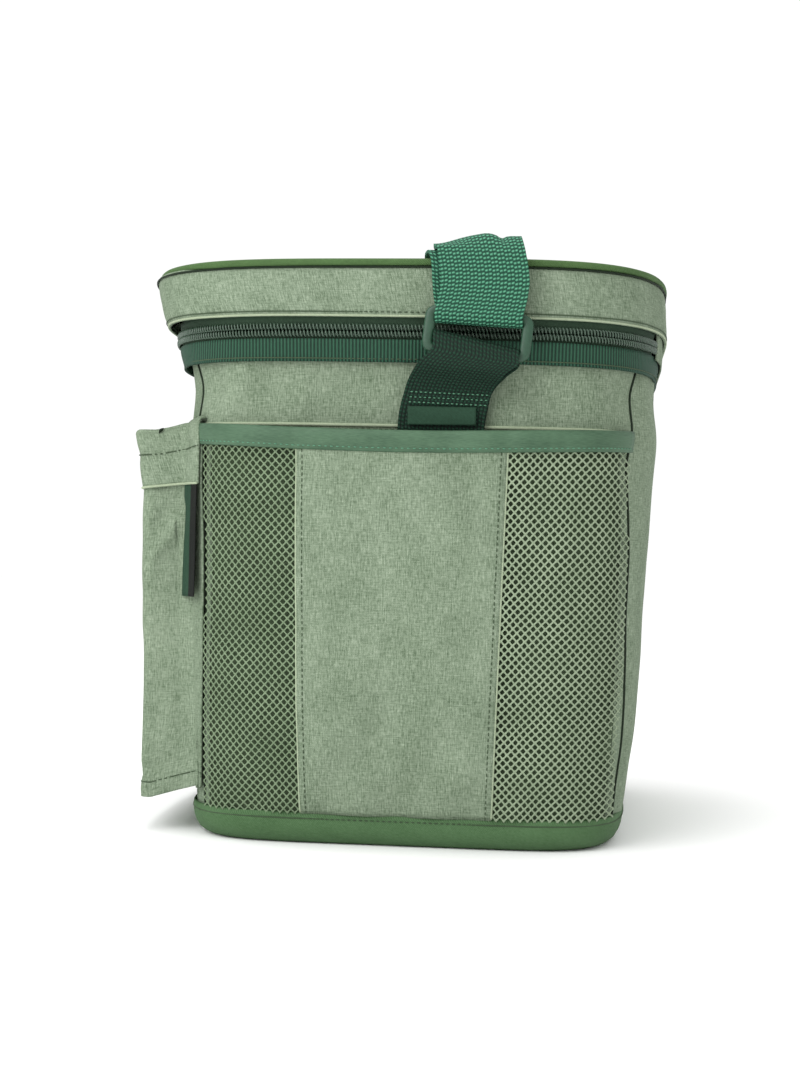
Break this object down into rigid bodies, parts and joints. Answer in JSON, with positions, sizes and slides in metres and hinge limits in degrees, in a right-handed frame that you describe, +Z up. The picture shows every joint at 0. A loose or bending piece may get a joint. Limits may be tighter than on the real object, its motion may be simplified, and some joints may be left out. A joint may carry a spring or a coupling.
{
  "type": "insulated bag",
  "caption": "Soft-sided insulated bag with a zipped hinged lid, mesh end pockets, a flap pocket and a webbing strap on rings.",
  "frame": {"origin": "centre of the flat face it stands on", "axes": "+Z up, towards the lid; Y along the bag, with the end that has the corner label at -Y; +X towards the lid hinge"},
  "size_m": [0.248, 0.3202, 0.2712],
  "materials": {
    "heather_fabric": "matte woven melange polyester",
    "base_fabric": "matte coated woven polyester",
    "binding_tape": "smooth folded binding tape with a soft sheen",
    "ribbon": "ribbed grosgrain ribbon",
    "webbing": "woven polyester webbing",
    "mesh_net": "open warp-knit net",
    "ring_plastic": "satin moulded plastic",
    "zip_coil": "satin nylon coil",
    "zip_tape": "matte woven tape",
    "zip_metal": "satin painted die-cast metal",
    "foam": "closed-cell foam",
    "liner": "heat-sealed coated film with a soft gloss",
    "board": "stiff plastic sheet",
    "label": "blank woven label",
    "hook_loop": "hook and loop strip"
  },
  "bodies": {
    "bag": {"base_board": "board", "base_panel": "base_fabric", "corner_label": "label", "foam_floor": "foam", "foam_walls": "foam", "closure_loop_strip": "hook_loop", "front_pocket_binding": "binding_tape", "front_pocket_net_left": "mesh_net", "front_pocket_net_right": "mesh_net", "front_pocket_panel": "heather_fabric", "rear_pocket_binding": "binding_tape", "rear_pocket_net_left": "mesh_net", "rear_pocket_net_right": "mesh_net", "rear_pocket_panel": "heather_fabric", "front_tab": "webbing", "front_tab_loop": "webbing", "rear_tab": "webbing", "rear_tab_loop": "webbing", "tab_label": "label", "hinge_strip": "heather_fabric", "liner": "liner", "outer_shell": "heather_fabric", "side_pocket": "heather_fabric", "top_ribbon": "ribbon", "zip_coil_lower": "zip_coil", "zip_tape_lower": "zip_tape", "strap_front_leg": "webbing", "strap_rear_leg": "webbing"},
    "lid": {"lid_foam": "foam", "lid_liner": "liner", "lid_piping": "base_fabric", "lid_skirt": "heather_fabric", "lid_top": "heather_fabric", "zip_coil_upper": "zip_coil", "zip_tape_upper": "zip_tape", "strap_lid_front": "webbing", "strap_folds": "webbing", "strap_lid_rear": "webbing"},
    "flap": {"side_pocket_flap": "heather_fabric", "closure_hook_strip": "hook_loop"},
    "front_ring": {"front_ring": "ring_plastic"},
    "rear_ring": {"rear_ring": "ring_plastic"},
    "adjuster": {"strap_adjuster": "ring_plastic"},
    "slider_front": {"zip_slider_front": "zip_metal"},
    "slider_rear": {"zip_slider_rear": "zip_metal"},
    "pull_front": {"zip_pull_front": "zip_metal"},
    "pull_rear": {"zip_pull_rear": "zip_metal"}
  },
  "joints": [
    {"name": "lid_hinge", "type": "hinge", "parent": "bag", "child": "lid", "pos_m": [0.1152, 0, 0.2288], "axis": [0, 1, 0], "range_deg": [0, 100], "deforming": ["hinge_strip", "strap_front_leg", "strap_rear_leg"]},
    {"name": "flap_hinge", "type": "hinge", "parent": "bag", "child": "flap", "pos_m": [-0.1115, 0, 0.1905], "axis": [0, 1, 0], "range_deg": [0, 80]},
    {"name": "front_ring_swing", "type": "hinge", "parent": "bag", "child": "front_ring", "pos_m": [0.03342, -0.1552, 0.23545], "axis": [0.9945, 0, -0.1045], "range_deg": [-50, 0], "deforming": ["front_tab_loop"]},
    {"name": "rear_ring_swing", "type": "hinge", "parent": "bag", "child": "rear_ring", "pos_m": [0.03342, 0.1552, 0.23545], "axis": [0.9945, 0, -0.1045], "range_deg": [0, 50], "deforming": ["rear_tab_loop"]},
    {"name": "adjuster_slide", "type": "slide", "parent": "lid", "child": "adjuster", "axis": [0, 1, 0], "range_m": [-0.045, 0.06]},
    {"name": "front_slider_slide", "type": "slide", "parent": "bag", "child": "slider_front", "axis": [0, -1, 0], "range_m": [0, 0.05]},
    {"name": "rear_slider_slide", "type": "slide", "parent": "bag", "child": "slider_rear", "axis": [0, 1, 0], "range_m": [0, 0.05]},
    {"name": "front_pull_swing", "type": "hinge", "parent": "slider_front", "child": "pull_front", "pos_m": [-0.12, -0.006, 0.2284], "axis": [0, 1, 0], "range_deg": [0, 150]},
    {"name": "rear_pull_swing", "type": "hinge", "parent": "slider_rear", "child": "pull_rear", "pos_m": [-0.12, 0.006, 0.2284], "axis": [0, 1, 0], "range_deg": [0, 150]}
  ]
}
